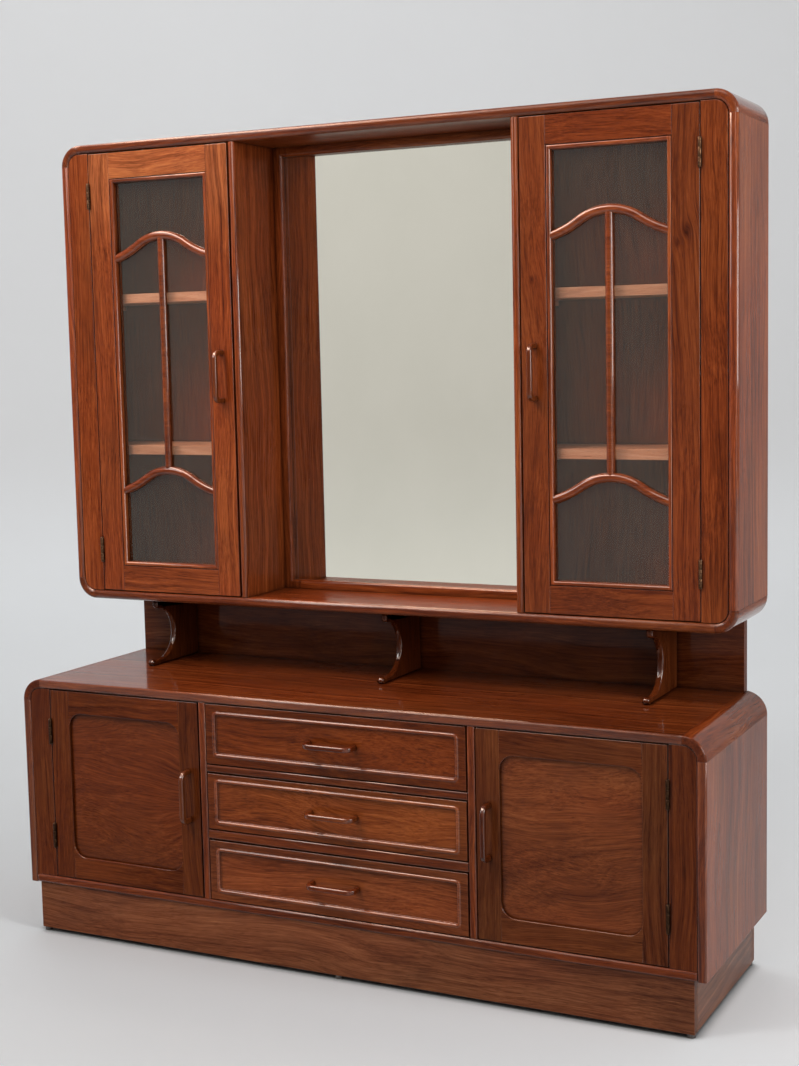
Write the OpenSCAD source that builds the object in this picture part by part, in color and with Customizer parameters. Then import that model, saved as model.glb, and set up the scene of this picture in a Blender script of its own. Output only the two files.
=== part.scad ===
// Dressing table: a low cabinet with drawers between two doors, and a wall
// cabinet above it with a mirror niche between two glazed doors.
// The origin is on the floor, under the middle of the whole piece.
// X runs to the right, Y to the back, Z up.

/* [Overall] */
// Full width of both cabinets
width = 1600; // [1450:10:1900]
// Depth of the low cabinet from its front edge to its back
base_depth = 445; // [400:5:560]
// Depth of the cabinet above
upper_depth = 225; // [200:5:300]
// Radius of the rounded outer corners
corner_r = 48; // [36:1:70]
// Rounding of the front edges of the low cabinet's boards
nose_r = 4.5; // [1:0.5:6]
// Rounding of the front edges of the wall cabinet's boards
upper_nose_r = 7.5; // [1:0.5:8]
// How far doors, drawers and stiles sit behind the front edge
face_set = 2; // [1:0.5:6]

/* [Foot] */
// Height of the glides under the plinth
glide_h = 8; // [4:1:15]
// Width of each round glide
glide_d = 17; // [12:1:18]
// Height of the plinth boards
plinth_h = 107; // [70:1:140]
// How far the plinth stands in from both sides
plinth_inset = 25; // [10:1:60]
// How far the plinth stands in from the front
plinth_front_set = 4; // [2:1:40]
// How far the plinth stands in from the back
plinth_back_set = 8; // [0:1:40]

/* [Low cabinet] */
// Height of the low cabinet above its plinth
base_h = 474; // [440:2:560]
// Thickness of its outer boards
base_board = 19; // [16:1:24]
// Clear width between the two partitions
drawer_bay_w = 618; // [500:2:760]
// Thickness of every partition
partition_t = 18; // [16:1:22]
// Clear height for the middle drawer
mid_bay_h = 126; // [110:1:160]
// Height of the rail under the upper drawer
high_rail_h = 18; // [14:1:24]
// Height of the rail under the middle drawer
low_rail_h = 22; // [16:1:26]
// Depth of both rails
rail_depth = 60; // [40:1:90]
// Width of the upright stile beside each low door
base_stile_w = 55; // [40:1:70]
// Thickness of every upright stile
stile_t = 21; // [18:1:26]

/* [Space between the cabinets] */
// Height of the open space between the cabinets
riser_h = 156; // [120:1:220]
// How far the board behind that space stands in from the sides
riser_inset = 43; // [30:1:120]
// Thickness of that board
riser_t = 22; // [16:1:28]
// Thickness of each bracket
bracket_t = 14; // [10:1:20]
// Distance from the middle to each outer bracket
bracket_x = 606; // [450:1:700]
// How far each bracket reaches forward of the board behind it
bracket_reach = 193; // [150:1:200]
// Thickness of a bracket's lower arm
bracket_foot_t = 12; // [8:1:20]
// Thickness of its upper arm
bracket_head_t = 24; // [14:1:36]
// Length of the straight part of each arm
bracket_straight = 35; // [20:1:45]
// How far the upper arm stays behind the end of the lower arm
bracket_head_set = 24; // [0:1:40]
// Radius of the small scroll at the end of the lower arm
bracket_scroll_r = 7; // [6:0.5:12]

/* [Wall cabinet] */
// Height of the cabinet above
upper_h = 1055; // [900:5:1300]
// Thickness of its outer boards
upper_board = 21; // [18:1:26]
// Clear width of the mirror niche
niche_w = 656; // [560:2:760]
// Width of the upright stile beside each glazed door
upper_stile_w = 54; // [40:1:70]
// Distance from the front edge to the thin back panel
upper_inner_depth = 192; // [160:1:200]
// Thickness of the thin back panels
back_t = 8; // [4:1:12]
// How far the low cabinet's back panel stands in from the back
base_back_set = 2; // [1:1:20]
// Thickness of each shelf
shelf_t = 21; // [16:1:24]
// How far the shelves stand back from the front edge
shelf_set = 30; // [28:1:60]
// Height of the upper shelf behind the left door
left_shelf_z = 712; // [500:2:800]
// Height of the upper shelf behind the right door
right_shelf_z = 690; // [500:2:800]
// Height of the lower shelf behind both doors
low_shelf_z = 362; // [250:2:450]
// Width and height of the battens that hold the shelves
batten = 12; // [8:1:20]
// Length of those battens
batten_len = 130; // [80:1:150]

/* [Mirror] */
// Thickness of the mirror glass
mirror_t = 5; // [3:1:6]
// Width of the strips round the mirror
mirror_bead_w = 20; // [14:1:30]
// Thickness of those strips
mirror_bead_t = 17; // [10:1:22]
// Rounding of their inner edge
mirror_bead_r = 7; // [2:0.5:9]

/* [Low doors] */
// Gap round every door
door_gap = 2; // [1:0.5:4]
// Thickness of a low door
base_door_t = 21; // [18:1:26]
// Width of its frame on all four sides
base_frame_w = 50; // [40:1:65]
// Corner radius of the sunk panel
panel_r = 32; // [15:1:45]
// How far the panel is sunk behind the frame
panel_sink = 7; // [4:1:10]
// Thickness of the panel
panel_t = 8; // [6:1:12]
// How far the panel runs behind the frame
panel_lap = 8; // [5:1:12]

/* [Glazed doors] */
// Thickness of a glazed door
upper_door_t = 24; // [20:1:28]
// Width of its upright frame pieces
upper_frame_w = 56; // [45:1:70]
// Height of its level frame pieces
upper_frame_h = 58; // [45:1:70]
// How far the glass lies behind the front of the frame
glass_sink = 14; // [10:0.5:16]
// Thickness of the glass
glass_t = 4; // [3:0.5:5]
// Width of the round strips that hold the glass
glass_bead_w = 10; // [8:1:14]
// Width of the curved and upright bars
bar_w = 20; // [12:1:26]
// Thickness of those bars
bar_t = 13; // [8:1:15]
// How far the arcs of a curved bar grow into each other
bar_splice = 0.5; // [0.2:0.1:1.5]
// Slope of a curved bar where it is steepest
wave_steep = 34; // [25:1:45]
// Slope of a curved bar at its ends
wave_end = 17; // [5:1:22]
// Share of the half width that the crown takes
wave_share = 0.52; // [0.4:0.02:0.6]
// Distance from the top of the glass to the ends of the upper curved bar
wave_high_drop = 170; // [100:1:260]
// Distance from the bottom of the glass to the ends of the lower curved bar
wave_low_rise = 168; // [100:1:260]

/* [Drawers] */
// Gap round every drawer front
drawer_gap = 2; // [1:0.5:4]
// Thickness of a drawer front
drawer_front_t = 21; // [18:1:26]
// Thickness of a drawer's sides and back
drawer_side_t = 12; // [10:1:16]
// Height of a drawer's sides
drawer_side_h = 105; // [80:1:110]
// Space between a drawer's back and the back panel
drawer_back_room = 27; // [15:1:100]
// Thickness of a drawer's bottom
drawer_bottom_t = 6; // [4:1:9]
// How high the bottom lies above the lower edge of the sides
drawer_bottom_up = 8; // [4:1:14]
// Space between a drawer's sides and the partitions
drawer_side_gap = 3; // [2:0.5:6]
// Space under a drawer's sides
drawer_float = 0.6; // [0.4:0.1:1.5]
// Width of the wooden runners
runner_w = 16; // [12:1:24]
// Width of the bead on a drawer front
bead_w = 8; // [6:0.5:10]
// How far the bead stands out
bead_up = 2.5; // [1:0.5:3]
// Corner radius of the bead along its middle
bead_corner = 8; // [6.5:0.5:14]
// Distance from the drawer's edge to the bead on the middle drawer
bead_margin = 11; // [8:0.5:16]
// Distance from the drawer's ends to the bead
bead_side_margin = 16; // [10:0.5:22]
// How far the field inside the bead is sunk
field_sink = 4; // [2:0.5:6]
// How deep the bead is rooted below that field
bead_root = 1; // [0.5:0.5:3]

/* [Pulls] */
// Full length of each pull
pull_len = 118; // [90:1:140]
// How far each pull stands out
pull_reach = 35; // [28:1:40]
// Thickness of the bar of each pull
pull_t = 11; // [8:0.5:13]
// Rounding of that bar's edges
pull_edge_r = 3.5; // [1:0.5:4.5]
// Radius of the bends of each pull
pull_bend = 14; // [10:1:20]
// Distance from a low door's free edge to its pull
base_pull_in = 26; // [20:1:40]
// How far a low door's pull sits above the middle
base_pull_up = 8; // [-40:1:60]
// Distance from a glazed door's free edge to its pull
upper_pull_in = 29; // [20:1:40]
// How far a glazed door's pull sits below the middle
upper_pull_down = 8; // [-40:1:60]

/* [Hinges] */
// Length of each hinge
hinge_len = 56; // [40:1:70]
// Radius of the hinge barrel
barrel_r = 3.5; // [3:0.1:4.5]
// How far the barrel's axis lies in front of the door
barrel_out = 3.4; // [3.3:0.1:5]
// Radius of the hinge pin
pin_r = 1.5; // [1:0.1:2]
// Space round the pin in the door's leaf
pin_slack = 0.06; // [0.01:0.01:0.1]
// Thickness of a hinge leaf
leaf_t = 2; // [1.5:0.1:2.4]
// How deep a leaf is let into the wood
leaf_sink = 1.2; // [0.9:0.1:2]
// Width of a hinge leaf
leaf_w = 18; // [12:1:20]
// Space between the barrel's three parts
barrel_gap = 0.3; // [0.2:0.1:0.6]
// Space between the barrel and the part of a leaf that is let into the wood
barrel_free = 0.4; // [0.2:0.1:1]
// Distance from a door's end to the middle of its hinge
hinge_inset = 95; // [60:1:130]
// Height of the round heads of the hinge pin
pin_head_h = 1.5; // [1:0.5:3]
// Size of the wooden stop behind each door
stop_size = 18; // [12:1:24]
// Height of that stop
stop_h = 40; // [25:1:60]
// Space between the stop and the closed door
stop_gap = 0.4; // [0.3:0.1:1]

/* [Hidden] */
$fn = 96;

wood = "SaddleBrown";
pale_wood = "Peru";
half_w = width / 2;
reach_out = pull_reach - face_set;
front_y = (reach_out - base_depth) / 2;
back_y = front_y + base_depth;
upper_front_y = back_y - upper_depth;
base_face = front_y + face_set;
upper_face = upper_front_y + face_set;

// Outer edges of the plinth
plinth_x = half_w - plinth_inset;
plinth_y0 = front_y + plinth_front_set;
plinth_y1 = back_y - plinth_back_set;

// Heights of the low cabinet
base_z = glide_h + plinth_h;
base_in_z = base_z + base_board;
base_top_z = base_z + base_h;
base_in_top = base_top_z - base_board;
base_in_x = half_w - base_board;
bay_x = drawer_bay_w / 2;
base_door_in = bay_x + partition_t;
base_door_out = base_in_x - base_stile_w;
base_back_y = back_y - base_back_set - back_t;
rest_bay_h = (base_in_top - base_in_z - high_rail_h - low_rail_h - mid_bay_h) / 2;
high_bay_z = base_in_top - rest_bay_h;
mid_bay_z = high_bay_z - high_rail_h - mid_bay_h;
low_bay_z = base_in_z;

// Heights of the cabinet above
upper_z = base_top_z + riser_h;
upper_in_z = upper_z + upper_board;
upper_top_z = upper_z + upper_h;
upper_in_top = upper_top_z - upper_board;
upper_in_x = half_w - upper_board;
niche_x = niche_w / 2;
upper_door_in = niche_x + partition_t;
upper_door_out = upper_in_x - upper_stile_w;
upper_back_y = upper_front_y + upper_inner_depth;
riser_y = back_y - riser_t;
// Small ease where a stile or a panel meets a rounded corner
corner_ease = 0.2;
panel_ease = 6;

// Sizes of the low doors
base_door_w = base_door_out - base_door_in - 2 * door_gap;
base_door_h = base_in_top - base_in_z - 2 * door_gap;
base_door_x = base_door_in + door_gap;
base_door_z = base_in_z + door_gap;
base_panel_w = base_door_w - 2 * base_frame_w;
base_panel_h = base_door_h - 2 * base_frame_w;

// Sizes of the glazed doors
upper_door_w = upper_door_out - upper_door_in - 2 * door_gap;
upper_door_h = upper_in_top - upper_in_z - 2 * door_gap;
upper_door_x = upper_door_in + door_gap;
upper_door_z = upper_in_z + door_gap;
glass_w = upper_door_w - 2 * upper_frame_w;
glass_h = upper_door_h - 2 * upper_frame_h;
glass_x = upper_door_x + upper_frame_w;
glass_z = upper_door_z + upper_frame_h;
glass_y = upper_face + glass_sink;
clear_half = glass_w / 2 - glass_bead_w;
glass_mid_x = glass_x + glass_w / 2;

// Arcs of the curved bars: a crown and an end arc on each side
crown_run = clear_half * wave_share;
crown_r = crown_run / sin(wave_steep);
end_arc_r = (clear_half - crown_run) / (sin(wave_steep) - sin(wave_end));
crown_fall = crown_r * (1 - cos(wave_steep));
end_fall = end_arc_r * (cos(wave_end) - cos(wave_steep));
wave_h = crown_fall + end_fall;
high_crown_z = glass_z + glass_h - glass_bead_w - wave_high_drop + wave_h;
low_crown_z = glass_z + glass_bead_w + wave_low_rise + wave_h;

// Sizes of the drawers
front_w = drawer_bay_w - 2 * drawer_gap;
rest_front_h = rest_bay_h - 2 * drawer_gap;
mid_front_h = mid_bay_h - 2 * drawer_gap;
box_y = base_face + drawer_front_t;
drawer_len = base_back_y - drawer_back_room - box_y;
bead_ring_w = front_w - 2 * bead_side_margin - bead_w;
bead_ring_h = mid_front_h - 2 * bead_margin - bead_w;
bead_down = field_sink + bead_root;
box_half = bay_x - drawer_side_gap;

// Sizes of the hinges and their places
leaf_free = door_gap / 2 - (leaf_t - leaf_sink);
barrel_part = (hinge_len - 2 * barrel_gap) / 3;
base_axis_x = base_door_out - door_gap / 2;
upper_axis_x = upper_door_out - door_gap / 2;
base_hinge_z = [base_door_z + hinge_inset, base_door_z + base_door_h - hinge_inset];
upper_hinge_z = [upper_door_z + hinge_inset, upper_door_z + upper_door_h - hinge_inset];
leaf_start = barrel_r - barrel_out + barrel_free;
cut = 1;

// A straight board between two corner points
module slab(a, b) {
  translate(a)
    cube(b - a);
}

// The same shape on the other side
module flip() {
  mirror([1, 0, 0])
    children();
}

// The shape on both sides
module pair() {
  children();
  flip()
    children();
}

// Section of a board: depth along x, thickness along y, front edges rounded
module edge_2d(d, t, r) {
  translate([r, 0])
    square([d - r, t]);
  translate([0, r])
    square([d, t - 2 * r]);
  translate([r, r])
    circle(r);
  translate([r, t - r])
    circle(r);
}

// A level board with a rounded front edge
module flat_board(x0, x1, y0, y1, z0, t, r = nose_r) {
  translate([x0, y0, z0])
    rotate([90, 0, 90])
      linear_extrude(x1 - x0)
        edge_2d(y1 - y0, t, r);
}

// An upright board with a rounded front edge
module upright_board(x0, t, y0, y1, z0, z1, r = nose_r) {
  translate([x0, y0, z0])
    linear_extrude(z1 - z0)
      mirror([1, -1, 0])
        edge_2d(y1 - y0, t, r);
}

// A quarter of a tube that joins a level board to an upright one
module round_corner(t, y0, y1, x, z, up, r = nose_r) {
  translate([x, y0, z])
    mirror([0, 0, up ? 0 : 1])
      rotate([-90, 0, 0])
        rotate([0, 0, -90])
          rotate_extrude(angle = 90)
            translate([corner_r - t, 0])
              mirror([1, -1, 0])
                edge_2d(y1 - y0, t, r);
}

// Outline that fits a cabinet's inside, rounded at the top or at both ends
module inside_2d(x, z0, z1, r, low) {
  z_low = low ? z0 + r : z0;
  translate([r - x, z0])
    square([2 * (x - r), z1 - z0]);
  translate([-x, z_low])
    square([2 * x, z1 - r - z_low]);
  for (s = [-1, 1])
    translate([s * (x - r), z1 - r])
      circle(r);
  if (low)
    for (s = [-1, 1])
      translate([s * (x - r), z_low])
        circle(r);
}

// An upright sheet from an outline drawn in x and z
module sheet(y0, t) {
  translate([0, y0 + t, 0])
    rotate([90, 0, 0])
      linear_extrude(t)
        children();
}

module glides() {
  mid = base_board / 2;
  color("DimGray")
    for (x = [mid - plinth_x, 0, plinth_x - mid])
      for (y = [plinth_y0 + mid, plinth_y1 - mid])
        translate([x, y, 0])
          cylinder(d = glide_d, h = glide_h);
}

module plinth_long_boards() {
  color(wood)
    for (y = [plinth_y0, plinth_y1 - base_board])
      slab([-plinth_x, y, glide_h], [plinth_x, y + base_board, base_z]);
}

module plinth_side_boards() {
  color(wood)
    pair()
      slab([plinth_x - base_board, plinth_y0 + base_board, glide_h],
        [plinth_x, plinth_y1 - base_board, base_z]);
}

module base_bottom() {
  color(wood)
    flat_board(-base_in_x, base_in_x, front_y, back_y, base_z, base_board);
}

module base_sides() {
  color(wood)
    pair()
      upright_board(base_in_x, base_board, front_y, back_y, base_z, base_top_z - corner_r);
}

module base_corners() {
  color(wood)
    pair()
      round_corner(base_board, front_y, back_y, half_w - corner_r, base_top_z - corner_r, true);
}

module base_top() {
  x = half_w - corner_r;
  color(wood)
    flat_board(-x, x, front_y, back_y, base_in_top, base_board);
}

module base_back() {
  r = corner_r - base_board + panel_ease;
  color(pale_wood)
    sheet(base_back_y, back_t)
      inside_2d(base_in_x, base_in_z, base_in_top, r, false);
}

module base_partitions() {
  color(wood)
    pair()
      upright_board(bay_x, partition_t, base_face, base_back_y, base_in_z, base_in_top);
}

module drawer_rails() {
  color(wood) {
    flat_board(-bay_x, bay_x, base_face, base_face + rail_depth, high_bay_z - high_rail_h, high_rail_h);
    flat_board(-bay_x, bay_x, base_face, base_face + rail_depth, mid_bay_z - low_rail_h, low_rail_h);
  }
}

module drawer_runners() {
  y0 = base_face + rail_depth;
  color(pale_wood)
    pair()
      for (z = [high_bay_z, mid_bay_z])
        slab([bay_x - runner_w, y0, z - high_rail_h], [bay_x, base_back_y, z]);
}

module upright_stiles() {
  color(wood)
    pair() {
      difference() {
        sheet(base_face, stile_t)
          stile_2d(base_door_out, base_in_x, base_in_z, base_in_top, base_board, false);
        for (z = base_hinge_z)
          leaf_pocket(base_door_out, base_face, z);
      }
      difference() {
        sheet(upper_face, stile_t)
          stile_2d(upper_door_out, upper_in_x, upper_in_z, upper_in_top, upper_board, true);
        for (z = upper_hinge_z)
          leaf_pocket(upper_door_out, upper_face, z);
      }
    }
}

// Outline of a stile that fills the rounded corner beside a door
module stile_2d(x0, x1, z0, z1, t, low) {
  bend_x = half_w - corner_r;
  fit_r = corner_r - t;
  z_low = low ? z0 + fit_r : z0;
  intersection() {
    translate([x0, z0])
      square([x1 - x0, z1 - z0]);
    union() {
      translate([x0, z0])
        square([bend_x - x0, z1 - z0]);
      translate([bend_x, z_low])
        square([x1 - bend_x, z1 - fit_r - z_low]);
      translate([bend_x, z1 - fit_r])
        circle(fit_r - corner_ease);
      if (low)
        translate([bend_x, z_low])
          circle(fit_r - corner_ease);
    }
  }
}

module riser_board() {
  x = half_w - riser_inset;
  color(wood)
    slab([-x, riser_y, base_top_z], [x, back_y, upper_z]);
}

module brackets() {
  color(wood)
    for (x = [-bracket_x, 0, bracket_x])
      translate([x - bracket_t / 2, riser_y - bracket_reach, base_top_z])
        rotate([90, 0, 90])
          linear_extrude(bracket_t)
            bracket_2d();
}

// Side view of a bracket: two arms with round ends and a round bite between
module bracket_2d() {
  head_r = bracket_head_t / 2;
  bite_r = (riser_h - bracket_foot_t - bracket_head_t) / 2;
  web_w = bracket_reach - bracket_straight;
  difference() {
    translate([bracket_straight, bracket_foot_t])
      square([web_w, 2 * bite_r]);
    translate([bracket_straight, bracket_foot_t + bite_r])
      circle(bite_r);
  }
  translate([bracket_scroll_r, 0])
    square([bracket_reach - bracket_scroll_r, bracket_foot_t]);
  translate([bracket_scroll_r, bracket_scroll_r])
    circle(bracket_scroll_r);
  translate([bracket_head_set + head_r, riser_h - bracket_head_t])
    square([bracket_reach - bracket_head_set - head_r, bracket_head_t]);
  translate([bracket_head_set + head_r, riser_h - head_r])
    circle(head_r);
}

module upper_bottom() {
  x = half_w - corner_r;
  color(wood)
    flat_board(-x, x, upper_front_y, back_y, upper_z, upper_board, upper_nose_r);
}

module upper_sides() {
  side_z = upper_z + corner_r;
  color(wood)
    pair()
      side_board(side_z, upper_top_z - corner_r);
}

// The wall cabinet's side between two heights
module side_board(z0, z1) {
  upright_board(upper_in_x, upper_board, upper_front_y, back_y, z0, z1, upper_nose_r);
}

module upper_corners() {
  color(wood)
    pair() {
      upper_corner(upper_top_z - corner_r, true);
      upper_corner(upper_z + corner_r, false);
    }
}

module upper_corner(z, up) {
  x = half_w - corner_r;
  round_corner(upper_board, upper_front_y, back_y, x, z, up, upper_nose_r);
}

module upper_top() {
  x = half_w - corner_r;
  color(wood)
    flat_board(-x, x, upper_front_y, back_y, upper_in_top, upper_board, upper_nose_r);
}

// The upright board beside the mirror between two heights
module niche_wall(z0, z1) {
  upright_board(niche_x, partition_t, upper_face, upper_back_y, z0, z1, upper_nose_r);
}

module upper_partitions() {
  color(wood)
    pair()
      niche_wall(upper_in_z, upper_in_top);
}

module upper_back() {
  r = corner_r - upper_board + panel_ease;
  color(pale_wood)
    sheet(upper_back_y, back_t)
      inside_2d(upper_in_x, upper_in_z, upper_in_top, r, true);
}

// One shelf behind the right door, with its top at the given height
module shelf(z) {
  slab([upper_door_in, upper_front_y + shelf_set, z - shelf_t], [upper_in_x, upper_back_y, z]);
}

module shelves() {
  color(pale_wood) {
    shelf(upper_z + right_shelf_z);
    shelf(upper_z + low_shelf_z);
    flip() {
      shelf(upper_z + left_shelf_z);
      shelf(upper_z + low_shelf_z);
    }
  }
}

// Two battens under one shelf
module batten_pair(z) {
  y1 = upper_back_y;
  for (x = [upper_door_in, upper_in_x - batten])
    slab([x, y1 - batten_len, z - shelf_t - batten], [x + batten, y1, z - shelf_t]);
}

module shelf_battens() {
  color(pale_wood) {
    batten_pair(upper_z + right_shelf_z);
    batten_pair(upper_z + low_shelf_z);
    flip() {
      batten_pair(upper_z + left_shelf_z);
      batten_pair(upper_z + low_shelf_z);
    }
  }
}

module mirror_glass() {
  color("LightSteelBlue")
    slab([-niche_x, upper_back_y - mirror_t, upper_in_z], [niche_x, upper_back_y, upper_in_top]);
}

module mirror_beads() {
  color(wood)
    translate([-niche_x, upper_back_y - mirror_t, upper_in_z])
      rotate([90, 0, 0])
        strip_frame(niche_w, upper_in_top - upper_in_z, mirror_bead_w, mirror_bead_t)
          mirror_bead_2d();
}

// Section of a strip round the mirror, rounded on its inner front edge
module mirror_bead_2d() {
  square([mirror_bead_w, mirror_bead_t - mirror_bead_r]);
  square([mirror_bead_w - mirror_bead_r, mirror_bead_t]);
  translate([mirror_bead_w - mirror_bead_r, mirror_bead_t - mirror_bead_r])
    circle(mirror_bead_r);
}

// Four mitred strips round a rectangle, lying flat with their fronts up
module strip_frame(w, h, strip_w, strip_t) {
  strip(w, strip_w, strip_t)
    children();
  translate([w, 0, 0])
    rotate([0, 0, 90])
      strip(h, strip_w, strip_t)
        children();
  translate([w, h, 0])
    rotate([0, 0, 180])
      strip(w, strip_w, strip_t)
        children();
  translate([0, h, 0])
    rotate([0, 0, 270])
      strip(h, strip_w, strip_t)
        children();
}

// One mitred strip: its outer edge on the x axis, its section given by the child
module strip(len, strip_w, strip_t) {
  intersection() {
    rotate([90, 0, 90])
      linear_extrude(len)
        children();
    linear_extrude(strip_t)
      polygon([[0, 0], [len, 0], [len - strip_w, strip_w], [strip_w, strip_w]]);
  }
}

// Wooden stops behind the free edge of each door
module door_stops() {
  base_y = base_face + base_door_t + stop_gap;
  upper_y = upper_face + upper_door_t + stop_gap;
  base_mid = base_door_z + base_door_h / 2;
  upper_mid = upper_door_z + upper_door_h / 2;
  color(pale_wood)
    pair() {
      stop_block(base_door_in, base_y, base_mid);
      stop_block(upper_door_in, upper_y, upper_mid);
    }
}

module stop_block(x, y, z) {
  slab([x, y, z - stop_h / 2], [x + stop_size, y + stop_size, z + stop_h / 2]);
}

// Pocket for a hinge leaf in the edge of a board, given its edge, face and height
module leaf_pocket(x, face, z) {
  translate([x - cut, face - cut, z - hinge_len / 2])
    cube([leaf_sink + cut, leaf_w + cut, hinge_len]);
}

// Leaf on the stile, its barrel on the z axis and the stile to the right
module frame_leaf() {
  difference() {
    union() {
      translate([leaf_free, barrel_out + leaf_start, -hinge_len / 2])
        cube([leaf_t, leaf_w - leaf_start, hinge_len]);
      for (s = [0, 1])
        mirror([0, 0, s])
          barrel_third(hinge_len / 2 - barrel_part);
    }
    translate([0, 0, -hinge_len / 2 - cut])
      cylinder(r = pin_r, h = hinge_len + 2 * cut);
  }
}

// Leaf on the door, its barrel on the z axis and the door to the left
module door_leaf() {
  difference() {
    flip()
      union() {
        translate([leaf_free, barrel_out + leaf_start, -hinge_len / 2])
          cube([leaf_t, leaf_w - leaf_start, hinge_len]);
        barrel_third(-barrel_part / 2);
      }
    translate([0, 0, -hinge_len / 2 - cut])
      cylinder(r = pin_r + pin_slack, h = hinge_len + 2 * cut);
  }
}

// One third of the barrel with the tab that joins it to its leaf
module barrel_third(z) {
  translate([0, 0, z]) {
    cylinder(r = barrel_r, h = barrel_part);
    translate([leaf_free, 0, 0])
      cube([leaf_t, barrel_out + leaf_start + cut, barrel_part]);
  }
}

module hinge_frame_leaves() {
  color("Goldenrod")
    pair() {
      for (z = base_hinge_z)
        translate([base_axis_x, base_face - barrel_out, z])
          frame_leaf();
      for (z = upper_hinge_z)
        translate([upper_axis_x, upper_face - barrel_out, z])
          frame_leaf();
    }
}

// A pin with a round head at each end
module hinge_pin() {
  translate([0, 0, -hinge_len / 2])
    cylinder(r = pin_r, h = hinge_len);
  for (s = [0, 1])
    mirror([0, 0, s])
      translate([0, 0, hinge_len / 2])
        cylinder(r1 = barrel_r, r2 = pin_r, h = pin_head_h);
}

module hinge_pins() {
  color("Goldenrod")
    pair() {
      for (z = base_hinge_z)
        translate([base_axis_x, base_face - barrel_out, z])
          hinge_pin();
      for (z = upper_hinge_z)
        translate([upper_axis_x, upper_face - barrel_out, z])
          hinge_pin();
    }
}

// A pull along x, fixed at y = 0 and standing out towards the front
module pull() {
  side_x = pull_len / 2 - pull_t / 2;
  leg = pull_reach - pull_t / 2 - pull_bend;
  for (s = [-1, 1])
    translate([s * side_x, 0, 0])
      rotate([90, 0, 0])
        linear_extrude(leg)
          pull_2d();
  for (s = [0, 1])
    mirror([s, 0, 0])
      translate([side_x - pull_bend, -leg, 0])
        rotate([0, 0, -90])
          rotate_extrude(angle = 90)
            translate([pull_bend, 0])
              pull_2d();
  translate([pull_bend - side_x, -leg - pull_bend, 0])
    rotate([90, 0, 90])
      linear_extrude(2 * (side_x - pull_bend))
        pull_2d();
}

// Rounded square section of a pull
module pull_2d() {
  flat = pull_t - 2 * pull_edge_r;
  square([pull_t, flat], center = true);
  square([flat, pull_t], center = true);
  for (x = [-flat / 2, flat / 2])
    for (y = [-flat / 2, flat / 2])
      translate([x, y])
        circle(pull_edge_r);
}

module base_door_left_stiles() {
  flip()
    base_door_right_stiles();
}

module base_door_right_stiles() {
  lap_z = base_door_z + base_frame_w - panel_lap;
  lap_h = base_panel_h + 2 * panel_lap;
  z1 = base_door_z + base_door_h;
  y1 = base_face + base_door_t;
  in_x = base_door_x + base_frame_w;
  out_x = in_x + base_panel_w;
  color(wood)
    difference() {
      union() {
        slab([base_door_x, base_face, base_door_z], [in_x, y1, z1]);
        slab([out_x, base_face, base_door_z], [base_door_x + base_door_w, y1, z1]);
      }
      translate([in_x - panel_lap, base_face + panel_sink, lap_z])
        cube([base_panel_w + 2 * panel_lap, base_door_t, lap_h]);
      for (z = base_hinge_z)
        translate([base_axis_x, 0, 0])
          flip()
            leaf_pocket(door_gap / 2, base_face, z);
    }
}

module base_door_left_rails() {
  flip()
    base_door_right_rails();
}

module base_door_right_rails() {
  x = base_door_x + base_frame_w;
  y = base_face + panel_sink;
  mid_z = base_door_z + base_door_h / 2;
  back_h = base_frame_w - panel_lap;
  rail_z = base_door_h / 2;
  color(wood)
    for (s = [0, 1])
      translate([x, 0, mid_z])
        mirror([0, 0, s]) {
          sheet(base_face, panel_sink)
            rail_2d();
          slab([0, y, rail_z - back_h], [base_panel_w, base_face + base_door_t, rail_z]);
        }
}

// Front view of a level frame piece with a rounded horn at each end
module rail_2d() {
  difference() {
    translate([0, base_panel_h / 2 - panel_r])
      square([base_panel_w, base_frame_w + panel_r]);
    translate([panel_r, 0])
      square([base_panel_w - 2 * panel_r, base_panel_h / 2]);
    for (x = [panel_r, base_panel_w - panel_r])
      translate([x, base_panel_h / 2 - panel_r])
        circle(panel_r);
  }
}

module base_door_left_panel() {
  flip()
    base_door_right_panel();
}

module base_door_right_panel() {
  x = base_door_x + base_frame_w - panel_lap;
  y = base_face + panel_sink;
  z = base_door_z + base_frame_w - panel_lap;
  color(wood)
    translate([x, y, z])
      cube([base_panel_w + 2 * panel_lap, panel_t, base_panel_h + 2 * panel_lap]);
}

module base_door_left_pull() {
  flip()
    base_door_right_pull();
}

module base_door_right_pull() {
  color(wood)
    translate([base_door_x + base_pull_in, base_face, base_door_z + base_door_h / 2 + base_pull_up])
      rotate([0, 90, 0])
        pull();
}

module base_door_left_leaves() {
  flip()
    base_door_right_leaves();
}

module base_door_right_leaves() {
  color("Goldenrod")
    for (z = base_hinge_z)
      translate([base_axis_x, base_face - barrel_out, z])
        door_leaf();
}

module upper_door_left_stiles() {
  flip()
    upper_door_right_stiles();
}

module upper_door_right_stiles() {
  y1 = upper_face + upper_door_t;
  z1 = upper_door_z + upper_door_h;
  x1 = upper_door_x + upper_door_w;
  color(wood)
    difference() {
      union() {
        slab([upper_door_x, upper_face, upper_door_z], [glass_x, y1, z1]);
        slab([glass_x + glass_w, upper_face, upper_door_z], [x1, y1, z1]);
      }
      for (z = upper_hinge_z)
        translate([upper_axis_x, 0, 0])
          flip()
            leaf_pocket(door_gap / 2, upper_face, z);
    }
}

module upper_door_left_rails() {
  flip()
    upper_door_right_rails();
}

module upper_door_right_rails() {
  y1 = upper_face + upper_door_t;
  z1 = upper_door_z + upper_door_h;
  color(wood) {
    slab([glass_x, upper_face, upper_door_z], [glass_x + glass_w, y1, glass_z]);
    slab([glass_x, upper_face, z1 - upper_frame_h], [glass_x + glass_w, y1, z1]);
  }
}

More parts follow.
